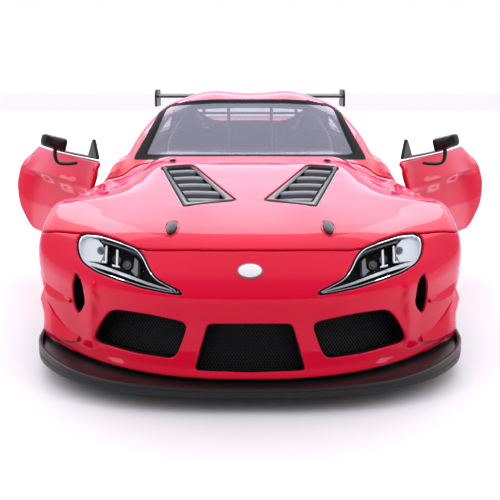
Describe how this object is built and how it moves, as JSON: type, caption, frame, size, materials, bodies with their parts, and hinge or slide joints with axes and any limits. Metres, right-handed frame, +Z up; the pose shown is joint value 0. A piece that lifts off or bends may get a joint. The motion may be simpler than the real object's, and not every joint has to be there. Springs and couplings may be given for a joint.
{
  "type": "diecast collector car",
  "caption": "Red wide-body coupe in 1:24 scale: doors swing on cranked arms, clamshell hood tilts, wheels roll on axles, cabin and engine bay are fitted out.",
  "frame": {"origin": "on the ground under the middle of the car's box, tyres standing on Z 0", "axes": "+Z up, the nose points to -Y, +X to the car's left-hand side"},
  "size_m": [0.1432, 0.19, 0.0512],
  "materials": {
    "red_paint": "high-gloss bright red lacquer over cast zinc",
    "cabin_black": "moulded black cabin plastic, fine grain",
    "bright_steel": "bright turned steel",
    "gloss_black": "semi-gloss black plastic",
    "satin_black": "satin charcoal plastic",
    "mirror_foil": "bright mirror foil",
    "white_print": "white gloss plastic",
    "clear_lens": "clear moulded plastic",
    "tinted_glass": "smoked clear plastic",
    "red_lens": "transparent red lens plastic",
    "soft_tyre": "soft black tyre compound with slick tread",
    "wheel_grey": "dark painted wheel metal",
    "engine_grey": "cast grey",
    "belt_red": "red webbing",
    "cage_grey": "grey painted tube"
  },
  "bodies": {
    "body": {"body_shell": "red_paint", "front_bumper": "red_paint", "door_hinge_pins": "bright_steel", "hood_hinge_pins": "bright_steel", "nose_badge": "white_print", "headlight_lenses": "clear_lens", "headlight_buckets": "satin_black", "headlight_reflectors": "mirror_foil", "centre_grille": "satin_black", "side_grilles": "satin_black", "inlet_screens": "satin_black", "front_splitter": "gloss_black", "canards": "red_paint", "windshield": "clear_lens", "rear_window": "tinted_glass", "quarter_windows": "tinted_glass", "taillights": "red_lens", "rear_diffuser": "gloss_black", "exhaust_tips": "bright_steel", "rear_wing": "gloss_black", "wing_endplates": "gloss_black", "wing_stands": "gloss_black", "side_skirts": "gloss_black", "chassis_plate": "satin_black", "chassis_screws": "bright_steel", "engine_bay": "satin_black", "engine": "engine_grey", "radiator": "engine_grey", "strut_brace": "bright_steel", "interior_tub": "cabin_black", "dashboard": "cabin_black", "steering_wheel": "cabin_black", "seats": "cabin_black", "harnesses": "belt_red", "roll_cage": "cage_grey"},
    "hood": {"hood": "red_paint", "hood_vent_frames": "satin_black", "hood_vent_louvres": "satin_black", "hood_pins": "gloss_black", "hood_arms": "bright_steel"},
    "door_left": {"door_left": "red_paint", "door_left_panel": "cabin_black", "door_left_arms": "bright_steel", "door_left_trim": "gloss_black", "door_left_mirror": "gloss_black", "door_left_mirror_glass": "mirror_foil"},
    "door_right": {"door_right": "red_paint", "door_right_panel": "cabin_black", "door_right_arms": "bright_steel", "door_right_trim": "gloss_black", "door_right_mirror": "gloss_black", "door_right_mirror_glass": "mirror_foil"},
    "front_wheels": {"front_axle": "bright_steel", "front_tyres": "soft_tyre", "front_rims": "wheel_grey", "front_discs": "bright_steel"},
    "rear_wheels": {"rear_axle": "bright_steel", "rear_tyres": "soft_tyre", "rear_rims": "wheel_grey", "rear_discs": "bright_steel"}
  },
  "joints": [
    {"name": "hood_hinge", "type": "hinge", "parent": "body", "child": "hood", "pos_m": [0, -0.027, 0.033], "axis": [-1, 0, 0], "range_deg": [0, 42]},
    {"name": "door_left_hinge", "type": "hinge", "parent": "body", "child": "door_left", "pos_m": [0.0339, -0.0303, 0.02], "axis": [0, 0, -1], "range_deg": [-35, 4]},
    {"name": "door_right_hinge", "type": "hinge", "parent": "body", "child": "door_right", "pos_m": [-0.0339, -0.0303, 0.02], "axis": [0, 0, 1], "range_deg": [-35, 4]},
    {"name": "front_wheels_spin", "type": "hinge", "parent": "body", "child": "front_wheels", "pos_m": [0, -0.053, 0.0132], "axis": [1, 0, 0], "continuous": true},
    {"name": "rear_wheels_spin", "type": "hinge", "parent": "body", "child": "rear_wheels", "pos_m": [0, 0.05, 0.0132], "axis": [1, 0, 0], "continuous": true}
  ]
}
